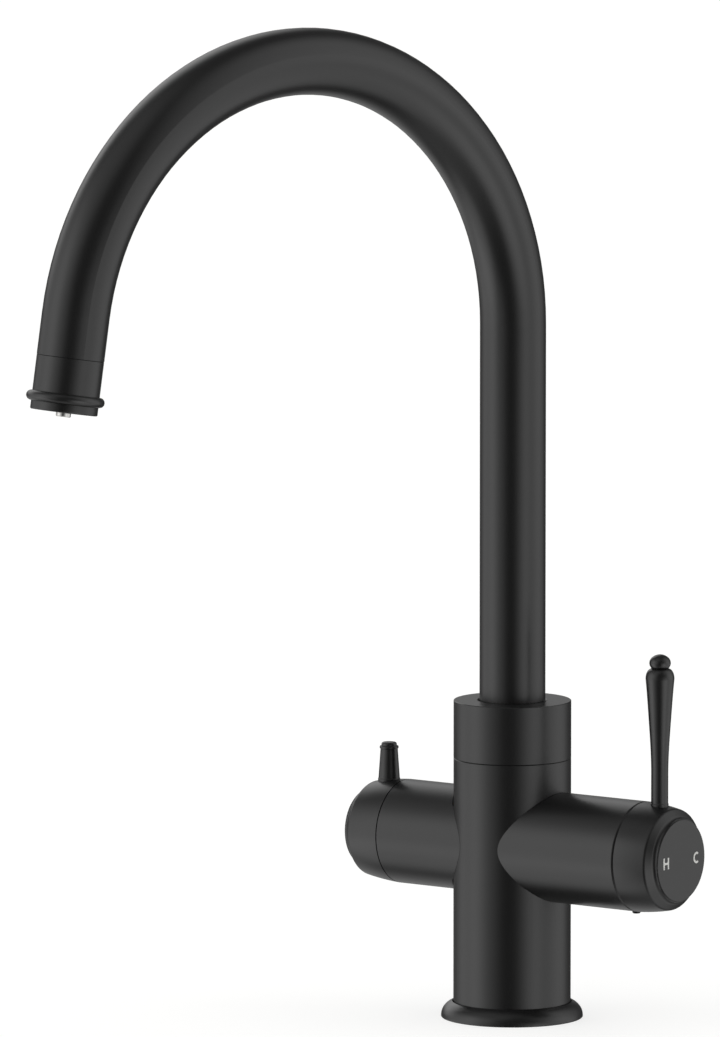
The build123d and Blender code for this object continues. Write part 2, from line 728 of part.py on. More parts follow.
# Nozzle: takes the filtered pipe above and passes through the aerator
nozzle_socket_radius = pipe_radius + nozzle_socket_wall
nozzle_socket_start = pipe_into_outlet - nozzle_socket_depth
nozzle_end = outlet_length + nozzle_proud
with BuildPart() as filtered_nozzle:
    with BuildSketch(outlet_plane.offset(nozzle_socket_start)):
        Circle(nozzle_socket_radius)
    extrude(amount=aerator_start - nozzle_socket_start)
    with BuildSketch(outlet_plane.offset(aerator_start)):
        Circle(nozzle_shank_radius)
    extrude(amount=aerator_length)
    with BuildSketch(outlet_plane.offset(aerator_end)):
        Circle(nozzle_tip_radius)
    extrude(amount=nozzle_end - aerator_end)
    chamfer(filtered_nozzle.faces().sort_by(outlet_axis)[-1].edges(), length=seam_chamfer)
    with BuildSketch(outlet_plane.offset(nozzle_socket_start)):
        Circle(pipe_radius + press_clearance)
    extrude(amount=nozzle_socket_depth, mode=Mode.SUBTRACT)
    with BuildSketch(outlet_plane.offset(nozzle_socket_start)):
        Circle(nozzle_bore_radius)
    extrude(amount=nozzle_end - nozzle_socket_start, mode=Mode.SUBTRACT)
save(filtered_nozzle, "filtered_nozzle")

# Mixer arm: housing cup screwed into the body
mixer_ports = [(-port_spread, port_rise), (port_spread, port_rise), (0, -port_circle_radius)]
with BuildPart() as mixer_housing:
    with BuildSketch(mixer_cross.offset(arm_socket_floor)):
        Circle(mixer_spigot_radius)
    extrude(amount=housing_start - arm_socket_floor)
    with BuildSketch(mixer_cross.offset(housing_start)):
        Circle(mixer_housing_radius)
    extrude(amount=mixer_housing_end - housing_start)
    with BuildSketch(mixer_cross.offset(housing_floor_end)):
        Circle(cartridge_bore)
    extrude(amount=mixer_housing_end - housing_floor_end, mode=Mode.SUBTRACT)
    with BuildSketch(mixer_cross.offset(arm_socket_floor)):
        with Locations(*mixer_ports):
            Circle(waterway_radius)
    extrude(amount=housing_floor_end - arm_socket_floor, mode=Mode.SUBTRACT)
save(mixer_housing, "mixer_housing")


def cope_to_body(sleeve_radius):
    """Cut the sleeve in hand to the body's round, with a wider seam above and below."""
    with BuildSketch(Plane.XY) as body_round:
        Circle(body_radius + press_clearance)
    extrude(body_round.sketch, amount=collar_top_height, mode=Mode.SUBTRACT)
    relief = sleeve_radius * sin(radians(cope_relief_angle))
    for side in (1, -1):
        with BuildSketch(Plane.XY.offset(arm_height + side * relief)) as relief_round:
            Circle(body_radius + cope_relief)
        extrude(relief_round.sketch, amount=side * sleeve_radius, mode=Mode.SUBTRACT)


# Mixer sleeve: coped to the body, domed at its outer end about the tilt pivot
mixer_sleeve_bore = mixer_sleeve_radius - mixer_sleeve_wall
mixer_sleeve_shoulder = mixer_sleeve_radius - seam_chamfer / 2
with BuildPart() as mixer_sleeve:
    with BuildSketch(mixer_section):
        with BuildLine():
            Polyline(
                (sphere_reach(sleeve_sphere, mixer_sleeve_bore), mixer_sleeve_bore),
                (0, mixer_sleeve_bore),
                (0, mixer_sleeve_radius),
                (mixer_sleeve_end - seam_chamfer / 2, mixer_sleeve_radius),
                (sphere_reach(sleeve_sphere, mixer_sleeve_shoulder), mixer_sleeve_shoulder),
            )
            RadiusArc(
                (sphere_reach(sleeve_sphere, mixer_sleeve_shoulder), mixer_sleeve_shoulder),
                (sphere_reach(sleeve_sphere, mixer_sleeve_bore), mixer_sleeve_bore),
                sleeve_sphere,
            )
        make_face()
    revolve(axis=mixer_axis)
    cope_to_body(mixer_sleeve_radius)
    screw_place = mixer_sleeve_end - sleeve_screw_offset
    screw_plane = Plane(origin=(screw_place, 0, arm_height), z_dir=(0, 0, -1))
    with BuildSketch(screw_plane.offset(mixer_sleeve_bore / 2)):
        Circle(sleeve_screw_radius + press_clearance)
    extrude(amount=mixer_sleeve_radius, mode=Mode.SUBTRACT)
save(mixer_sleeve, "mixer_sleeve")

with BuildPart() as sleeve_screw:
    with BuildSketch(screw_plane.offset(mixer_sleeve_bore)):
        Circle(sleeve_screw_radius)
    extrude(amount=mixer_sleeve_wall + sleeve_screw_proud)
    fillet(sleeve_screw.edges().group_by(Axis.Z)[0], radius=sleeve_screw_proud / 2)
save(sleeve_screw, "sleeve_screw")

# Cartridge: base with its seals, shell, two ceramic discs, carrier, turret, pin and stem
shell_bore = cartridge_radius - cartridge_wall
turret_radius = shell_bore - running_clearance
shell_shoulder = turret_start + turret_flange_length + sliding_gap

with BuildPart() as cartridge_base:
    with BuildSketch(mixer_cross.offset(housing_floor_end)):
        Circle(cartridge_radius)
        with Locations(*mixer_ports):
            Circle(waterway_radius, mode=Mode.SUBTRACT)
    extrude(amount=cartridge_base_length)
    with BuildSketch(mixer_cross.offset(housing_floor_end)):
        with Locations(*mixer_ports):
            Circle(waterway_radius + cartridge_seal_width)
    extrude(amount=cartridge_seal_thickness, mode=Mode.SUBTRACT)
save(cartridge_base, "cartridge_base")

with BuildPart() as cartridge_seals:
    with BuildSketch(mixer_cross.offset(housing_floor_end)):
        with Locations(*mixer_ports):
            Circle(waterway_radius + cartridge_seal_width - press_clearance)
            Circle(waterway_radius, mode=Mode.SUBTRACT)
    extrude(amount=cartridge_seal_thickness)
save(cartridge_seals, "cartridge_seals")

with BuildPart() as fixed_disc:
    with BuildSketch(mixer_cross.offset(fixed_disc_start)):
        Circle(fixed_disc_radius)
        with Locations(*mixer_ports):
            Circle(waterway_radius, mode=Mode.SUBTRACT)
    extrude(amount=disc_thickness)
save(fixed_disc, "fixed_disc")

with BuildPart() as moving_disc:
    with BuildSketch(mixer_cross.offset(moving_disc_start)):
        Circle(moving_disc_radius)
    extrude(amount=disc_thickness)
    # The pocket joins the mixed port to the others, and closed it stops short of them
    pocket_radius = moving_disc_radius - disc_rim_width
    pocket_top = port_rise - waterway_radius - disc_sealing_land
    with BuildSketch(mixer_cross.offset(moving_disc_start)):
        Circle(pocket_radius)
        with Locations((0, pocket_top)):
            Rectangle(
                2 * pocket_radius,
                2 * pocket_radius,
                align=(Align.CENTER, Align.MIN),
                mode=Mode.SUBTRACT,
            )
    extrude(amount=disc_pocket_depth, mode=Mode.SUBTRACT)
save(moving_disc, "moving_disc")

with BuildPart() as cartridge_shell:
    with BuildSketch(mixer_cross.offset(fixed_disc_start)):
        Circle(cartridge_radius)
        Circle(shell_bore, mode=Mode.SUBTRACT)
    extrude(amount=shell_shoulder - fixed_disc_start)
    with BuildSketch(mixer_cross.offset(shell_shoulder)):
        Circle(cartridge_radius)
        Circle(turret_neck_radius + running_clearance, mode=Mode.SUBTRACT)
    extrude(amount=shell_end - shell_shoulder)
save(cartridge_shell, "cartridge_shell")

# The carrier's tongue slides in the turret's channel when the stem tilts
foot_socket_radius = stem_foot_radius + sliding_gap * 2
foot_throat = foot_place + stem_foot_radius / 3
with BuildPart() as disc_carrier:
    with BuildSketch(mixer_cross.offset(carrier_start)):
        Circle(moving_disc_radius)
    extrude(amount=carrier_plate)
    with BuildSketch(mixer_cross.offset(tongue_start)):
        Rectangle(carrier_tongue_width, carrier_tongue_length)
    extrude(amount=carrier_tongue)
    with BuildSketch(mixer_cross.offset(carrier_start)):
        Circle(foot_socket_radius)
    extrude(amount=carrier_plate, mode=Mode.SUBTRACT)
    with BuildSketch(mixer_cross.offset(foot_throat)):
        Circle(foot_socket_radius + stem_neck_radius)
    extrude(amount=tongue_end - foot_throat, mode=Mode.SUBTRACT)
save(disc_carrier, "disc_carrier")

# The turret's slot is longer on the side that the stem tilts to
tilt = radians(tilt_range)
tilted_half_width = stem_width / 2 / cos(tilt) + cover_clearance
slot_low = (turret_end - tilt_pivot) * tan(tilt) + tilted_half_width
slot_high = (tilt_pivot - turret_start) * tan(tilt) + tilted_half_width
stem_slot_width = stem_width + 2 * cover_clearance
with BuildPart() as cartridge_turret:
    with BuildSketch(mixer_cross.offset(turret_start)):
        Circle(turret_radius)
    extrude(amount=turret_flange_length)
    with BuildSketch(mixer_cross.offset(turret_start)):
        Circle(turret_neck_radius)
    extrude(amount=turret_end - turret_start)
    with BuildSketch(mixer_cross.offset(turret_start)):
        with Locations((0, (slot_high - slot_low) / 2)):
            Rectangle(stem_slot_width, slot_high + slot_low)
    extrude(amount=turret_end - turret_start, mode=Mode.SUBTRACT)
    with BuildSketch(mixer_cross.offset(turret_start)):
        Rectangle(carrier_tongue_width + 2 * cover_clearance, 2 * turret_radius)
    extrude(amount=tongue_end - turret_start + cover_clearance, mode=Mode.SUBTRACT)
    with BuildSketch(Plane(origin=(tilt_pivot, -turret_radius, arm_height), z_dir=(0, 1, 0))):
        Circle(pivot_pin_radius + press_clearance)
    extrude(amount=2 * turret_radius, mode=Mode.SUBTRACT)
save(cartridge_turret, "cartridge_turret")

pin_half_length = turret_neck_radius - cover_clearance
with BuildPart() as pivot_pin:
    with BuildSketch(Plane(origin=(tilt_pivot, -pin_half_length, arm_height), z_dir=(0, 1, 0))):
        Circle(pivot_pin_radius)
    extrude(amount=2 * pin_half_length)
save(pivot_pin, "pivot_pin")

# Stem: ball foot in the carrier, neck, and a square block that the knob sits on
stem_screw_hole = stem_end - knob_screw_grip
with BuildPart() as cartridge_stem:
    with BuildSketch(mixer_section):
        with BuildLine():
            CenterArc((foot_place, 0), stem_foot_radius, 0, 180)
            Line((foot_place - stem_foot_radius, 0), (foot_place + stem_foot_radius, 0))
        make_face()
    revolve(axis=mixer_axis)
    with BuildSketch(mixer_cross.offset(foot_place)):
        Circle(stem_neck_radius)
    extrude(amount=stem_block_start - foot_place)
    with BuildSketch(mixer_cross.offset(stem_block_start)):
        Rectangle(stem_width, stem_width)
    extrude(amount=stem_end - stem_block_start)
    with BuildSketch(Plane(origin=(tilt_pivot, -stem_width, arm_height), z_dir=(0, 1, 0))):
        Circle(pivot_pin_radius + running_clearance)
    extrude(amount=2 * stem_width, mode=Mode.SUBTRACT)
    with BuildSketch(mixer_cross.offset(stem_screw_hole)):
        Circle(knob_screw_radius + press_clearance)
    extrude(amount=knob_screw_grip, mode=Mode.SUBTRACT)
save(cartridge_stem, "cartridge_stem")

# Ring nut with four spanner notches
with BuildPart() as cartridge_nut:
    with BuildSketch(mixer_cross.offset(shell_end)):
        Circle(cartridge_radius)
        Circle(turret_neck_radius + nut_margin, mode=Mode.SUBTRACT)
    extrude(amount=nut_length)
    with BuildSketch(mixer_cross.offset(shell_end + nut_length / 2)):
        with PolarLocations(turret_neck_radius + nut_margin, 4):
            Rectangle(nut_notch, nut_notch)
    extrude(amount=nut_length, mode=Mode.SUBTRACT)
save(cartridge_nut, "cartridge_nut")

# Dome: closes the arm under the knob and leaves room for the knob's hub to tilt
dome_inner = dome_sphere - dome_wall
dome_skirt_radius = mixer_sleeve_bore - press_clearance
hub_half_angle = asin(knob_hub_radius / dome_inner)
dome_opening = hub_half_angle + tilt + radians(dome_opening_margin)
dome_skirt_bore = dome_skirt_radius - dome_skirt_wall
with BuildPart() as mixer_dome:
    with BuildSketch(mixer_section):
        with BuildLine():
            outer_foot = (sphere_reach(dome_sphere, dome_skirt_radius), dome_skirt_radius)
            inner_foot = (sphere_reach(dome_inner, dome_skirt_bore), dome_skirt_bore)
            outer_mouth = sphere_point(dome_sphere, dome_opening)
            inner_mouth = sphere_point(dome_inner, dome_opening)
            Polyline(
                inner_foot,
                (mixer_housing_end, dome_skirt_bore),
                (mixer_housing_end, dome_skirt_radius),
                outer_foot,
            )
            RadiusArc(outer_foot, outer_mouth, dome_sphere)
            Line(outer_mouth, inner_mouth)
            RadiusArc(inner_mouth, inner_foot, -dome_inner)
        make_face()
    revolve(axis=mixer_axis)
save(mixer_dome, "mixer_dome")


def side_middle(start, end):
    """Middle of a knob's swelling side."""
    return ((start[0] + end[0]) / 2, (start[1] + end[1]) / 2 + knob_crown)


def front_middle(start, end):
    """Middle of the hollow curve from a knob's bevel up to its face plate."""
    along = Vector(end) - Vector(start)
    inward = Vector(along.Y, -along.X).normalized()
    return (Vector(start) + Vector(end)) / 2 + inward * front_hollow


def face_plate(section, axis, seat, radius):
    """Round plate with a soft edge and a spigot in the knob's screw recess."""
    spigot_radius = head_recess - press_clearance
    face = seat + plate_thickness
    with BuildPart() as plate:
        with BuildSketch(section):
            with BuildLine():
                Polyline(
                    (seat - plate_spigot_length, 0),
                    (seat - plate_spigot_length, spigot_radius),
                    (seat, spigot_radius),
                    (seat, radius - seam_chamfer),
                    (seat + seam_chamfer, radius),
                    (face, radius),
                    (face, 0),
                    close=True,
                )
            make_face()
            rim = Vector(face, radius)
            fillet(vertices().sort_by_distance(rim)[0], radius=plate_edge_round)
        revolve(axis=axis)
    return plate


def knob_screw(cross, head_seat, shank_end):
    """Socket screw along an arm's axis, from under the face plate to the stem."""
    with BuildPart() as screw:
        with BuildSketch(cross.offset(head_seat)):
            Circle(knob_screw_head_radius)
        extrude(amount=knob_screw_head_height)
        with BuildSketch(cross.offset(shank_end)):
            Circle(knob_screw_radius)
        extrude(amount=head_seat - shank_end)
        with BuildSketch(cross.offset(head_seat + knob_screw_head_height)):
            RegularPolygon(knob_screw_radius, 6)
        extrude(amount=-knob_screw_radius, mode=Mode.SUBTRACT)
    return screw


# Mixer knob: hollow behind, spherical at the seam so that it can tilt
head_recess = knob_screw_head_radius + cover_clearance
mixer_head_seat = mixer_plate_seat - plate_spigot_length - knob_screw_head_height - 2 * cover_clearance
mixer_side_start = (mixer_knob_start + seam_chamfer / 2, mixer_sleeve_radius)
mixer_front_start = (mixer_step, mixer_step_radius)
mixer_front_end = (mixer_land, mixer_plate_radius + plate_land)
mixer_side_middle = side_middle(mixer_side_start, (mixer_rim, mixer_rim_radius))
stem_socket_width = stem_width + 2 * press_clearance
with BuildPart() as mixer_knob:
    with BuildSketch(mixer_section):
        hub_root = (sphere_reach(knob_sphere, knob_hub_radius), knob_hub_radius)
        rim_shoulder = (sphere_reach(knob_sphere, mixer_sleeve_shoulder), mixer_sleeve_shoulder)
        with BuildLine():
            Polyline(
                (mixer_plate_seat, 0),
                (knob_hub_start, 0),
                (knob_hub_start, knob_hub_radius),
                hub_root,
            )
            RadiusArc(hub_root, rim_shoulder, -knob_sphere)
            Polyline(
                rim_shoulder,
                mixer_side_start,
            )
            ThreePointArc(mixer_side_start, mixer_side_middle, (mixer_rim, mixer_rim_radius))
            Line((mixer_rim, mixer_rim_radius), mixer_front_start)
            ThreePointArc(
                mixer_front_start,
                front_middle(mixer_front_start, mixer_front_end),
                mixer_front_end,
            )
            Polyline(
                mixer_front_end,
                (mixer_land, mixer_plate_radius + press_clearance),
                (mixer_plate_seat, mixer_plate_radius + press_clearance),
                (mixer_plate_seat, 0),
            )
        make_face()
        rim = Vector(mixer_rim, mixer_rim_radius)
        fillet(vertices().sort_by_distance(rim)[0], radius=knob_rim_round)
    revolve(axis=mixer_axis)
    with BuildSketch(mixer_cross.offset(mixer_head_seat)):
        Circle(head_recess)
    extrude(amount=mixer_plate_seat - mixer_head_seat, mode=Mode.SUBTRACT)
    with BuildSketch(mixer_cross.offset(stem_end)):
        Circle(knob_screw_radius + press_clearance)
    extrude(amount=mixer_head_seat - stem_end, mode=Mode.SUBTRACT)
    with BuildSketch(mixer_cross.offset(knob_hub_start)):
        Rectangle(stem_socket_width, stem_socket_width)
    extrude(amount=stem_end - knob_hub_start, mode=Mode.SUBTRACT)
    # Spot face and threaded hole for the lever
    with BuildSketch(Plane.XY.offset(lever_foot)):
        with Locations((lever_offset, 0)):
            Circle(lever_ring_radius + press_clearance)
    extrude(amount=mixer_sleeve_radius, mode=Mode.SUBTRACT)
    with BuildSketch(Plane.XY.offset(lever_foot)):
        with Locations((lever_offset, 0)):
            Circle(lever_spigot_radius + press_clearance)
    extrude(amount=-lever_spigot_length - thread_play, mode=Mode.SUBTRACT)
save(mixer_knob, "mixer_knob")

mixer_knob_screw = knob_screw(mixer_cross, mixer_head_seat, stem_screw_hole)
save(mixer_knob_screw, "mixer_knob_screw")

mixer_face_plate = face_plate(mixer_section, mixer_axis, mixer_plate_seat, mixer_plate_radius)
save(mixer_face_plate, "mixer_face_plate")

# Mixer lever: base ring, shaft, swelling grip, neck and finial
lever_section = Plane(origin=(lever_offset, 0, 0), x_dir=(1, 0, 0), z_dir=(0, -1, 0))
crown_edge = (finial_crown_radius, lever_top - finial_crown_rise)
crown_sphere = (finial_crown_radius**2 + finial_crown_rise**2) / (2 * finial_crown_rise)
with BuildPart() as mixer_lever:
    with BuildSketch(lever_section):
        with BuildLine():
            Polyline(
                (0, lever_foot - lever_spigot_length),
                (lever_spigot_radius, lever_foot - lever_spigot_length),
                (lever_spigot_radius, lever_foot),
                (lever_ring_radius, lever_foot),
                (lever_ring_radius, lever_foot + lever_ring_height),
                (lever_shaft_radius, lever_foot + lever_ring_height + seam_chamfer),
                (lever_shaft_radius, lever_shaft_top),
            )
            Spline(
                (lever_shaft_radius, lever_shaft_top),
                (lever_waist_radius, lever_waist_height),
                (lever_bulge_radius, lever_bulge_height),
                tangents=((0, 1), (lever_flare, 1)),
            )
            EllipticalCenterArc(
                center=(lever_neck_radius, lever_bulge_height),
                x_radius=lever_bulge_radius - lever_neck_radius,
                y_radius=lever_neck_height - lever_bulge_height,
                start_angle=0,
                arc_size=90,
            )
            ThreePointArc(
                (lever_neck_radius, lever_neck_height),
                (finial_radius, finial_height),
                crown_edge,
            )
            RadiusArc(crown_edge, (0, lever_top), -crown_sphere)
            Line((0, lever_top), (0, lever_foot - lever_spigot_length))
        make_face()
    revolve(axis=Axis((lever_offset, 0, 0), (0, 0, 1)))
save(mixer_lever, "mixer_lever")

# Filter arm: housing screwed into the body
with BuildPart() as filter_housing:
    with BuildSketch(filter_cross.offset(arm_socket_floor)):
        Circle(filter_spigot_radius)
    extrude(amount=housing_start - arm_socket_floor)
    with BuildSketch(filter_cross.offset(housing_start)):
        Circle(filter_housing_radius)
    extrude(amount=filter_housing_end - housing_start)
    with BuildSketch(filter_cross.offset(filter_housing_floor)):
        Circle(headwork_radius + press_clearance)
    extrude(amount=filter_housing_end - filter_housing_floor, mode=Mode.SUBTRACT)
    with BuildSketch(filter_cross.offset(arm_socket_floor)):
        Circle(filtered_waterway_radius)
        with Locations((0, filter_port_rise)):
            Circle(filter_outlet_radius)
    extrude(amount=filter_housing_floor - arm_socket_floor, mode=Mode.SUBTRACT)
save(filter_housing, "filter_housing")

# Filter sleeve: coped to the body, with an inner lip that the headwork clamps
filter_sleeve_bore = filter_sleeve_radius - filter_sleeve_wall
with BuildPart() as filter_sleeve:
    with BuildSketch(filter_cross):
        Circle(filter_sleeve_radius)
        Circle(filter_sleeve_bore, mode=Mode.SUBTRACT)
    extrude(amount=filter_sleeve_end)
    with BuildSketch(filter_cross.offset(filter_housing_end)):
        Circle(filter_sleeve_radius)
        Circle(sleeve_lip_radius, mode=Mode.SUBTRACT)
    extrude(amount=sleeve_lip_length)
    cope_to_body(filter_sleeve_radius)
save(filter_sleeve, "filter_sleeve")

# Headwork: brass barrel with the disc chamber inside and the spindle's bore
chamber_end = headwork_start + headwork_chamber_length
headwork_flange_radius = filter_sleeve_bore - headwork_flange_inset
with BuildPart() as filter_headwork:
    with BuildSketch(filter_cross.offset(headwork_start)):
        Circle(headwork_radius - headwork_relief)
    extrude(amount=headwork_chamber_length)
    with BuildSketch(filter_cross.offset(chamber_end)):
        Circle(headwork_radius)
    extrude(amount=flange_start - chamber_end)
    with BuildSketch(filter_cross.offset(flange_start)):
        Circle(headwork_flange_radius)
    extrude(amount=headwork_flange_length)
    with BuildSketch(filter_cross.offset(headwork_start)):
        Circle(headwork_chamber_radius)
    extrude(amount=headwork_chamber_length, mode=Mode.SUBTRACT)
    with BuildSketch(filter_cross.offset(chamber_end)):
        Circle(filter_spindle_radius + running_clearance)
    extrude(amount=headwork_end - chamber_end, mode=Mode.SUBTRACT)
    # Windows that let the water out beside the discs
    window_width = headwork_chamber_radius
    window_plane = Plane(origin=(0, 0, arm_height - headwork_radius), z_dir=(0, 0, 1))
    window_place = -(headwork_start + filter_disc_thickness * 1.5 + sliding_gap)
    with BuildSketch(window_plane):
        with Locations((window_place, 0)):
            Rectangle(filter_disc_thickness, window_width)
    extrude(amount=2 * headwork_radius, mode=Mode.SUBTRACT)
save(filter_headwork, "filter_headwork")

with BuildPart() as filter_seat_seal:
    with BuildSketch(filter_cross.offset(filter_housing_floor)):
        Circle(headwork_chamber_radius - press_clearance)
        Circle(filter_seat_bore, mode=Mode.SUBTRACT)
        with Locations((0, filter_port_rise)):
            Circle(filter_outlet_radius + headwork_relief, mode=Mode.SUBTRACT)
    extrude(amount=headwork_start - filter_housing_floor)
save(filter_seat_seal, "filter_seat_seal")

# Two ceramic discs: round ports in the fixed one, open notches in the moving one
filter_moving_start = headwork_start + filter_disc_thickness + sliding_gap
moving_filter_radius = headwork_chamber_radius - filter_disc_play
notch_radius = filter_disc_port_radius + filter_disc_play
filter_port_offset = moving_filter_radius - filter_disc_port_radius - filter_disc_rim


def filter_disc(start, radius, port_radius, first_angle):
    """Ceramic disc with two opposite ports."""
    with BuildPart() as disc:
        with BuildSketch(filter_cross.offset(start)):
            Circle(radius)
            with PolarLocations(filter_port_offset, 2, start_angle=first_angle):
                Circle(port_radius, mode=Mode.SUBTRACT)
        extrude(amount=filter_disc_thickness)
    return disc


filter_fixed_disc = filter_disc(
    headwork_start,
    headwork_chamber_radius - press_clearance,
    filter_disc_port_radius,
    0,
)
save(filter_fixed_disc, "filter_fixed_disc")

filter_moving_disc = filter_disc(
    filter_moving_start,
    moving_filter_radius,
    notch_radius,
    filter_turn_range,
)
save(filter_moving_disc, "filter_moving_disc")

# Spindle: foot on the moving disc, shaft in the headwork, spline in the knob
spindle_foot = filter_moving_start + filter_disc_thickness
filter_screw_end = filter_spline_end - knob_screw_grip
with BuildPart() as filter_spindle:
    with BuildSketch(filter_cross.offset(spindle_foot)):
        Circle(moving_filter_radius)
    extrude(amount=filter_foot_length)
    with BuildSketch(filter_cross.offset(spindle_foot + filter_foot_length)):
        Circle(filter_spindle_radius)
    extrude(amount=filter_spline_start - spindle_foot - filter_foot_length)
    with BuildSketch(filter_cross.offset(filter_spline_start)):
        Circle(filter_spline_radius)
    extrude(amount=filter_spline_end - filter_spline_start)
    with BuildSketch(filter_cross.offset(filter_screw_end)):
        Circle(knob_screw_radius + press_clearance)
    extrude(amount=knob_screw_grip, mode=Mode.SUBTRACT)
save(filter_spindle, "filter_spindle")

# Filter knob: hollow, with a web and a hub on the spindle
filter_head_seat = filter_plate_seat - plate_spigot_length - knob_screw_head_height - cover_clearance
filter_side_start = (filter_knob_start, filter_sleeve_radius)
filter_front_start = (filter_step, filter_step_radius)
filter_front_end = (filter_land, filter_plate_radius + plate_land)
filter_side_middle = side_middle(filter_side_start, (filter_rim, filter_rim_radius))
with BuildPart() as filter_knob:
    with BuildSketch(filter_section):
        with BuildLine():
            Polyline(
                (filter_plate_seat, 0),
                (filter_hub_start, 0),
                (filter_hub_start, knob_hub_radius),
                (filter_knob_web, knob_hub_radius),
                (filter_knob_web, filter_knob_bore),
                (filter_knob_start, filter_knob_bore),
                filter_side_start,
            )
            ThreePointArc(filter_side_start, filter_side_middle, (filter_rim, filter_rim_radius))
            Line((filter_rim, filter_rim_radius), filter_front_start)
            ThreePointArc(
                filter_front_start,
                front_middle(filter_front_start, filter_front_end),
                filter_front_end,
            )
            Polyline(
                filter_front_end,
                (filter_land, filter_plate_radius + press_clearance),
                (filter_plate_seat, filter_plate_radius + press_clearance),
                (filter_plate_seat, 0),
            )
        make_face()
        rim = Vector(filter_rim, filter_rim_radius)
        fillet(vertices().sort_by_distance(rim)[0], radius=knob_rim_round)
    revolve(axis=filter_axis)
    with BuildSketch(filter_cross.offset(filter_head_seat)):
        Circle(head_recess)
    extrude(amount=filter_plate_seat - filter_head_seat, mode=Mode.SUBTRACT)
    with BuildSketch(filter_cross.offset(filter_spline_end)):
        Circle(knob_screw_radius + press_clearance)
    extrude(amount=filter_head_seat - filter_spline_end, mode=Mode.SUBTRACT)
    with BuildSketch(filter_cross.offset(filter_hub_start)):
        Circle(filter_spline_radius + press_clearance)
    extrude(amount=filter_spline_end - filter_hub_start, mode=Mode.SUBTRACT)
    # Spot face and threaded hole for the lever pin
    with BuildSketch(Plane.XY.offset(pin_foot)):
        with Locations((-filter_lever_offset, 0)):
            Circle(filter_ring_radius + press_clearance)
    extrude(amount=filter_sleeve_radius, mode=Mode.SUBTRACT)
    with BuildSketch(Plane.XY.offset(pin_foot)):
        with Locations((-filter_lever_offset, 0)):
            Circle(lever_spigot_radius + press_clearance)
    extrude(amount=-filter_spigot_depth - thread_play, mode=Mode.SUBTRACT)
save(filter_knob, "filter_knob")

filter_knob_screw = knob_screw(filter_cross, filter_head_seat, filter_screw_end)
save(filter_knob_screw, "filter_knob_screw")

filter_face_plate = face_plate(filter_section, filter_axis, filter_plate_seat, filter_plate_radius)
save(filter_face_plate, "filter_face_plate")

# Filter lever: a short tapered pin with a bead under its cap
pin_section = Plane(origin=(-filter_lever_offset, 0, 0), x_dir=(1, 0, 0), z_dir=(0, -1, 0))
with BuildPart() as filter_lever:
    with BuildSketch(pin_section):
        with BuildLine():
            Polyline(
                (0, pin_foot - filter_spigot_depth),
                (lever_spigot_radius, pin_foot - filter_spigot_depth),
                (lever_spigot_radius, pin_foot),
                (filter_ring_radius, pin_foot),
                (filter_ring_radius, pin_foot + filter_ring_height),
                (filter_lever_foot_radius, pin_foot + filter_ring_height + seam_chamfer),
                (filter_lever_top_radius, filter_bead_height),
                (filter_bead_radius, filter_bead_height + seam_chamfer),
                (filter_bead_radius, filter_bead_height + filter_bead_width),
                (filter_cap_radius, filter_bead_height + filter_bead_width),
                (filter_cap_radius, filter_lever_top),
                (0, filter_lever_top),
                close=True,
            )
        make_face()
        cap_edge = Vector(filter_cap_radius, filter_lever_top)
        fillet(vertices().sort_by_distance(cap_edge)[0], radius=filter_cap_round)
        bead_top = Vector(filter_bead_radius, filter_bead_height + filter_bead_width)
        fillet(vertices().sort_by_distance(bead_top)[0], radius=filter_bead_round)
    revolve(axis=Axis((-filter_lever_offset, 0, 0), (0, 0, 1)))
save(filter_lever, "filter_lever")
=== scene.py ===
from math import cos, radians, sin

import bmesh
import bpy
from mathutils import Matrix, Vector


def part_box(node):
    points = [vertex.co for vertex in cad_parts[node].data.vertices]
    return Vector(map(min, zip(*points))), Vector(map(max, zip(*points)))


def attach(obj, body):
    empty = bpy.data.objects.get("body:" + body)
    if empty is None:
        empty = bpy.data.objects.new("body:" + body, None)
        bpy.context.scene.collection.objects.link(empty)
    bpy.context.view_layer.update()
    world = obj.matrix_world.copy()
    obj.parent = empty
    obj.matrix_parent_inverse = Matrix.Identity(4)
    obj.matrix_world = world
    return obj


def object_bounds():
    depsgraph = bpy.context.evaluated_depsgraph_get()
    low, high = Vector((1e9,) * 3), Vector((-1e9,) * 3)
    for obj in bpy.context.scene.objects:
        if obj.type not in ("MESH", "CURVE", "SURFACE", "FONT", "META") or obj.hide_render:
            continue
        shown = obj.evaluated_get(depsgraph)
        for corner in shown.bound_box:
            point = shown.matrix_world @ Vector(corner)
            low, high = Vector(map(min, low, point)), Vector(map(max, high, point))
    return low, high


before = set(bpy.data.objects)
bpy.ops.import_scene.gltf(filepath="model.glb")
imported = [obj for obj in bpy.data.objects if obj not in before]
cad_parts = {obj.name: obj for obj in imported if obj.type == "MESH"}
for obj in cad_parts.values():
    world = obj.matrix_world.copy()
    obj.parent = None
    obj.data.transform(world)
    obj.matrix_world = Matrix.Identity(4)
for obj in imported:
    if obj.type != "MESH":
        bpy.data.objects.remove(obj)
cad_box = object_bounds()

# Three-way filtered water tap, as a product photographer would light it.
# Everything is in metres, in the same frame as the solids: the origin is on the body's
# axis at the deck, +Z is up, +X is the mixer arm and -Y is the front.

MM = 0.001

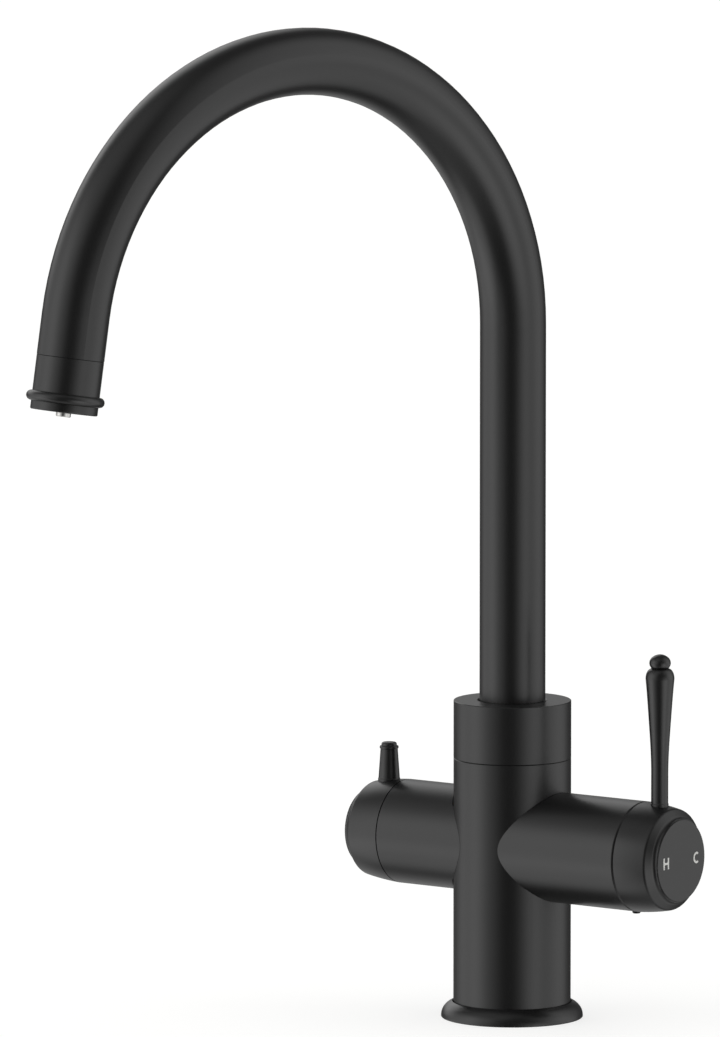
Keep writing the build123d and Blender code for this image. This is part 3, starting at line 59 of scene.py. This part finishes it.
# Finishes: sizes of their patterns, in mm
COAT_GRIT = 0.4             # the real grit is about 0.05, too fine to show
COAT_CLOUD = 9.0            # slow drift of the spray's thickness
COAT_DEPTH = 0.003
LATHE_RIDGE = 0.35          # the real feed marks are about 0.1 apart, too fine to show
LATHE_DEPTH = 0.003
METAL_CLOUD = 6.0
MOULD_GRIT = 0.5            # spark-eroded mould skin
MOULD_CLOUD = 5.0
MOULD_DEPTH = 0.01
LAPPED_DEPTH = 0.002
INK_DEPTH = 0.004
GRIT_DETAIL = 2.0           # octaves of noise in grit and in clouds
RIDGE_DETAIL = 3.0
NOISE_LOW = 0.3             # most of the noise lies between these two
NOISE_HIGH = 0.7
UPRIGHT = (0, 0, 1)

# Hot and cold marks on the mixer's face plate
MARK_HEIGHT = 4.9 * MM
MARK_WIDTH = 4.1 * MM
MARK_STROKE = 0.95 * MM
MARK_REACH = 11.2 * MM      # from the knob's axis to the middle of a mark
COLD_OPENING = 52           # half of the gap in the cold mark's ring, in degrees
COLD_STEPS = 32
COLD_SQUEEZE = 0.92         # the ring is this much narrower than high
INK_THICKNESS = 0.06 * MM

# Spout
OUTLET_LEAN = radians(9.2)

# Camera, as the photograph was taken
VIEW_AZIMUTH = radians(36.108)
VIEW_ELEVATION = radians(7.107)
VIEW_DISTANCE = 5.042
VIEW_HEIGHT = 0.213518
VIEW_SIDESTEP = -0.064713
VIEW_FAR_LIMIT = 50
LENS_LENGTH = 413.1
SENSOR_HEIGHT = 36.0

# Studio. Each soft box is where its middle is, in degrees to the right of the camera's
# side and upwards; how far its light reaches from there before it is gone; and its strength.
SOFT_BOXES = {
    "left wall": (-90, 5, 45, 1.0),
    "left front": (-60, 5, 45, 0.85),
    "high left": (-60, 52, 45, 0.55),
    "low left": (-80, -38, 32, 1.35),
    "right wall": (80, -25, 60, 1.1),
    "high right": (80, 38, 45, 0.65),
    "right behind": (105, 25, 45, 0.45),
    "front": (32, -8, 30, 0.45),
    "low front": (40, -25, 30, 0.9),
    "under front": (0, -75, 45, 0.55),
    "left behind": (-135, 15, 20, 1.0),
    "low left behind": (-120, -25, 30, 0.6),
    "behind": (-160, 30, 28, 1.3),
    "straight behind": (180, 3, 16, 0.3),
    "low behind": (-165, -38, 34, 0.55),
}
STUDIO_SHADE = 0.08         # light from the dark parts of the studio
FLOOR_RADIUS = 6.0
FLOOR_SIDES = 96
FLOOR_COLOUR = "#A9A9A7"
FLOOR_FILL = 0.7            # brings the floor up to the white of the backdrop
SKYLIGHT_STRENGTH = 0.9
SKYLIGHT_SPREAD = radians(100)
SKYLIGHT_HEIGHT = 2.0


def linear(colour):
    """sRGB hex colour as a linear RGBA value."""
    channels = [int(colour[place:place + 2], 16) / 255 for place in (1, 3, 5)]
    return [c / 12.92 if c <= 0.04045 else ((c + 0.055) / 1.055) ** 2.4 for c in channels] + [1.0]


def add_node(tree, kind, inputs=None, **settings):
    """New node with its settings; an input is a plain value or another node's output."""
    node = tree.nodes.new(kind)
    for name, value in settings.items():
        setattr(node, name, value)
    for name, value in (inputs or {}).items():
        if isinstance(value, bpy.types.NodeSocket):
            tree.links.new(value, node.inputs[name])
        else:
            node.inputs[name].default_value = value
    return node


def finish(name, colour, clouded, cloud_size, fine_size, depth, roughness, spread, axis=None,
           **settings):
    """Material whose colour drifts a little, under a fine pattern.

    The fine pattern is grit, or with an axis the rings that a lathe leaves round that axis.
    Sizes and the depth are in mm; spread is how far the roughness strays either way.
    """
    material = bpy.data.materials.new(name)
    material.use_nodes = True
    tree = material.node_tree
    tree.nodes.clear()
    around = add_node(tree, "ShaderNodeTexCoord")
    in_mm = add_node(tree, "ShaderNodeVectorMath",
                     {"Vector": around.outputs["Object"], "Scale": 1 / MM}, operation="SCALE")
    place = in_mm.outputs["Vector"]
    cloud = add_node(tree, "ShaderNodeTexNoise",
                     {"Vector": place, "Scale": 1 / cloud_size, "Detail": GRIT_DETAIL})
    if axis is None:
        fine = add_node(tree, "ShaderNodeTexNoise",
                        {"Vector": place, "Scale": 1 / fine_size, "Detail": GRIT_DETAIL})
    else:
        along = add_node(tree, "ShaderNodeVectorMath", {0: place, 1: axis},
                         operation="DOT_PRODUCT")
        fine = add_node(tree, "ShaderNodeTexNoise",
                        {"W": along.outputs["Value"], "Scale": 1 / fine_size,
                         "Detail": RIDGE_DETAIL}, noise_dimensions="1D")
    tint = add_node(tree, "ShaderNodeMix",
                    {0: cloud.outputs[0], 6: linear(colour), 7: linear(clouded)},
                    data_type="RGBA")
    gloss = add_node(tree, "ShaderNodeMapRange",
                     {"Value": fine.outputs[0], "From Min": NOISE_LOW, "From Max": NOISE_HIGH,
                      "To Min": roughness - spread, "To Max": roughness + spread})
    relief = add_node(tree, "ShaderNodeBump",
                      {"Height": fine.outputs[0], "Distance": depth * MM})
    surface = add_node(tree, "ShaderNodeBsdfPrincipled",
                       {"Base Color": tint.outputs[2], "Roughness": gloss.outputs["Result"],
                        "Normal": relief.outputs["Normal"], **settings})
    add_node(tree, "ShaderNodeOutputMaterial", {"Surface": surface.outputs["BSDF"]})
    return material


# Satin black: baked enamel sprayed on polished brass. It gives an even, almost black
# surface with a soft broad sheen.
satin_black_enamel = finish("baked_satin_black_enamel", "#151515", "#181818", COAT_CLOUD,
                            COAT_GRIT, COAT_DEPTH, roughness=0.33, spread=0.02, IOR=1.5)

# Brass, turned: warm yellow with fine bright rings round the upright body
turned_brass = finish("turned_brass", "#D8B36A", "#C9A25A", METAL_CLOUD, LATHE_RIDGE,
                      LATHE_DEPTH, roughness=0.3, spread=0.05, axis=UPRIGHT, Metallic=1.0)

# Stainless steel, turned and burnished: nearly neutral, with sharp light and dark edges
nozzle_low, nozzle_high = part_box("filtered_nozzle")
outward = Vector((nozzle_low[0] + nozzle_high[0], nozzle_low[1] + nozzle_high[1], 0)).normalized()
outlet_axis = outward * sin(OUTLET_LEAN) - Vector((0, 0, cos(OUTLET_LEAN)))
burnished_steel = finish("burnished_stainless_steel", "#D2D1CE", "#C8C7C4", METAL_CLOUD,
                         LATHE_RIDGE, LATHE_DEPTH, roughness=0.28, spread=0.04,
                         axis=outlet_axis, Metallic=1.0)

# Stainless tube, drawn: softer and greyer than the turned steel
drawn_tube = finish("drawn_stainless_tube", "#C8C7C4", "#BDBCB9", METAL_CLOUD, LATHE_RIDGE,
                    LATHE_DEPTH, roughness=0.3, spread=0.05, axis=UPRIGHT, Metallic=1.0)

# Steel screws, heat-blackened: dark grey metal with a dull shine
blackened_steel = finish("heat_blackened_steel", "#2A2A2A", "#232323", METAL_CLOUD, LATHE_RIDGE,
                         LATHE_DEPTH, roughness=0.4, spread=0.05, axis=UPRIGHT, Metallic=1.0)

# Alumina ceramic, lapped: off-white and smooth as glass
lapped_ceramic = finish("lapped_alumina_ceramic", "#EDEAE2", "#E6E3DA", MOULD_CLOUD,
                        MOULD_GRIT, LAPPED_DEPTH, roughness=0.15, spread=0.03, IOR=1.76)

# Nitrile rubber, moulded: dull charcoal black
moulded_rubber = finish("moulded_nitrile_rubber", "#1B1B1B", "#202020", MOULD_CLOUD,
                        MOULD_GRIT, MOULD_DEPTH, roughness=0.6, spread=0.05, IOR=1.52)

# Acetal, moulded: milky white or dark grey with a waxy sheen
white_acetal = finish("moulded_white_acetal", "#E9E8E2", "#E2E1DB", MOULD_CLOUD,
                      MOULD_GRIT, MOULD_DEPTH, roughness=0.4, spread=0.05, IOR=1.48)
grey_acetal = finish("moulded_grey_acetal", "#3E3E40", "#38383A", MOULD_CLOUD,
                     MOULD_GRIT, MOULD_DEPTH, roughness=0.45, spread=0.05, IOR=1.48)

# Epoxy ink, pad-printed: flat, slightly chalky white
white_ink = finish("pad_printed_white_ink", "#F4F4F0", "#EEEEEA", MOULD_CLOUD,
                   MOULD_GRIT, INK_DEPTH, roughness=0.5, spread=0.04, IOR=1.5)

finishes = {
    "black_coating": satin_black_enamel,
    "brass": turned_brass,
    "steel": burnished_steel,
    "pipe_steel": drawn_tube,
    "black_steel": blackened_steel,
    "ceramic": lapped_ceramic,
    "rubber": moulded_rubber,
    "white_plastic": white_acetal,
    "grey_plastic": grey_acetal,
}
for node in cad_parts.values():
    slot = node.data.materials[0].name.split(".")[0]
    for material_slot in node.material_slots:
        material_slot.material = finishes[slot]


def add_object(name, shape, material):
    """Object made from a finished bmesh, with one material."""
    mesh = bpy.data.meshes.new(name)
    shape.to_mesh(mesh)
    shape.free()
    mesh.materials.append(material)
    made = bpy.data.objects.new(name, mesh)
    bpy.context.scene.collection.objects.link(made)
    return made


def printed_mark(name, outline, across):
    """Thin raised ink on the mixer's face plate, across from the knob's axis."""
    face_low, face_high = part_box("mixer_face_plate")
    face = face_high[0]
    axis_height = (face_low[2] + face_high[2]) / 2
    shape = bmesh.new()
    corners = [shape.verts.new((face, across + y, axis_height + z)) for y, z in outline]
    ink = shape.faces.new(corners)
    raised = bmesh.ops.extrude_face_region(shape, geom=[ink])
    top = [item for item in raised["geom"] if isinstance(item, bmesh.types.BMVert)]
    bmesh.ops.translate(shape, verts=top, vec=(INK_THICKNESS, 0, 0))
    bmesh.ops.recalc_face_normals(shape, faces=shape.faces)
    mark = add_object(name, shape, white_ink)
    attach(mark, "mixer_lever_set")


# Hot mark: two uprights and a bar
half_width = MARK_WIDTH / 2
half_height = MARK_HEIGHT / 2
half_stroke = MARK_STROKE / 2
hot_outline = [
    (-half_width, -half_height),
    (-half_width + MARK_STROKE, -half_height),
    (-half_width + MARK_STROKE, -half_stroke),
    (half_width - MARK_STROKE, -half_stroke),
    (half_width - MARK_STROKE, -half_height),
    (half_width, -half_height),
    (half_width, half_height),
    (half_width - MARK_STROKE, half_height),
    (half_width - MARK_STROKE, half_stroke),
    (-half_width + MARK_STROKE, half_stroke),
    (-half_width + MARK_STROKE, half_height),
    (-half_width, half_height),
]
printed_mark("hot_mark", hot_outline, -MARK_REACH)

# Cold mark: a ring that is open at its right
sweep = [radians(COLD_OPENING + step * (360 - 2 * COLD_OPENING) / COLD_STEPS)
         for step in range(COLD_STEPS + 1)]
outer_height = half_height
outer_width = half_height * COLD_SQUEEZE
cold_outline = [(outer_width * cos(a), outer_height * sin(a)) for a in sweep]
cold_outline += [((outer_width - MARK_STROKE) * cos(a), (outer_height - MARK_STROKE) * sin(a))
                 for a in reversed(sweep)]
printed_mark("cold_mark", cold_outline, MARK_REACH)


# Camera
view_right = Vector((cos(VIEW_AZIMUTH), sin(VIEW_AZIMUTH), 0))
view_back = Vector((sin(VIEW_AZIMUTH) * cos(VIEW_ELEVATION),
                    -cos(VIEW_AZIMUTH) * cos(VIEW_ELEVATION),
                    sin(VIEW_ELEVATION)))
camera_data = bpy.data.cameras.new("camera")
camera_data.sensor_fit = "VERTICAL"
camera_data.sensor_height = SENSOR_HEIGHT
camera_data.lens = LENS_LENGTH
camera_data.clip_end = VIEW_FAR_LIMIT
camera = bpy.data.objects.new("camera", camera_data)
camera.location = (view_right * VIEW_SIDESTEP + Vector((0, 0, VIEW_HEIGHT))
                   + view_back * VIEW_DISTANCE)
camera.rotation_euler = view_back.to_track_quat("Z", "Y").to_euler()
bpy.context.scene.collection.objects.link(camera)
bpy.context.scene.camera = camera


def studio_direction(turn, rise):
    """Fixed direction in the studio: turn is degrees to the right of the camera's side."""
    forward = Vector((view_back.x, view_back.y, 0)).normalized()
    flat = forward * cos(radians(turn)) + view_right * sin(radians(turn))
    return flat * cos(radians(rise)) + Vector((0, 0, sin(radians(rise))))


def seen_directly(tree):
    """1 where the camera sees the thing itself or through anything clear, and 0 in reflections."""
    ray = add_node(tree, "ShaderNodeLightPath")
    either = add_node(tree, "ShaderNodeMath",
                      {0: ray.outputs["Is Camera Ray"], 1: ray.outputs["Is Transmission Ray"]},
                      operation="MAXIMUM")
    return either.outputs[0]


# Studio walls: soft boxes at the sides, in front, below and behind, and black cloth between
# them. The coat and the metal show these walls. The backdrop itself is white to the camera.
world = bpy.data.worlds.new("studio")
world.use_nodes = True
bpy.context.scene.world = world
tree = world.node_tree
tree.nodes.clear()
around = add_node(tree, "ShaderNodeTexCoord")
walls = STUDIO_SHADE
for turn, rise, reach_angle, strength in SOFT_BOXES.values():
    facing = add_node(tree, "ShaderNodeVectorMath",
                      {0: around.outputs["Generated"], 1: studio_direction(turn, rise)},
                      operation="DOT_PRODUCT")
    box = add_node(tree, "ShaderNodeMapRange",
                   {"Value": facing.outputs["Value"],
                    "From Min": cos(radians(reach_angle)), "From Max": 1.0,
                    "To Max": strength},
                   interpolation_type="SMOOTHSTEP")
    walls = add_node(tree, "ShaderNodeMath", {0: box.outputs["Result"], 1: walls}).outputs[0]
strength = add_node(tree, "ShaderNodeMix",
                    {0: seen_directly(tree), 2: walls, 3: 1.0}, data_type="FLOAT")
light = add_node(tree, "ShaderNodeBackground",
                 {"Color": (1, 1, 1, 1), "Strength": strength.outputs[0]})
add_node(tree, "ShaderNodeOutputWorld", {"Surface": light.outputs[0]})

# Skylight: very broad and soft, straight down, for the floor and the object's shadow on it
skylight_data = bpy.data.lights.new("skylight", "SUN")
skylight_data.energy = SKYLIGHT_STRENGTH
skylight_data.angle = SKYLIGHT_SPREAD
skylight = bpy.data.objects.new("skylight", skylight_data)
skylight.location = (0, 0, SKYLIGHT_HEIGHT)
skylight.visible_glossy = False
bpy.context.scene.collection.objects.link(skylight)

# Floor: pale matt paper, white to the camera but for the object's shadow
paper = bpy.data.materials.new("matt_paper")
paper.use_nodes = True
tree = paper.node_tree
tree.nodes.clear()
matt = add_node(tree, "ShaderNodeBsdfDiffuse", {"Color": linear(FLOOR_COLOUR)})
fill = add_node(tree, "ShaderNodeMath", {0: seen_directly(tree), 1: FLOOR_FILL},
                operation="MULTIPLY")
glow = add_node(tree, "ShaderNodeEmission", {"Strength": fill.outputs[0]})
both = add_node(tree, "ShaderNodeAddShader", {0: matt.outputs[0], 1: glow.outputs[0]})
add_node(tree, "ShaderNodeOutputMaterial", {"Surface": both.outputs[0]})
shape = bmesh.new()
bmesh.ops.create_circle(shape, cap_ends=True, segments=FLOOR_SIDES, radius=FLOOR_RADIUS)
floor = add_object("floor", shape, paper)
floor.location = (0, 0, cad_box[0][2])
floor.visible_glossy = False

bpy.context.scene.view_settings.view_transform = "Standard"
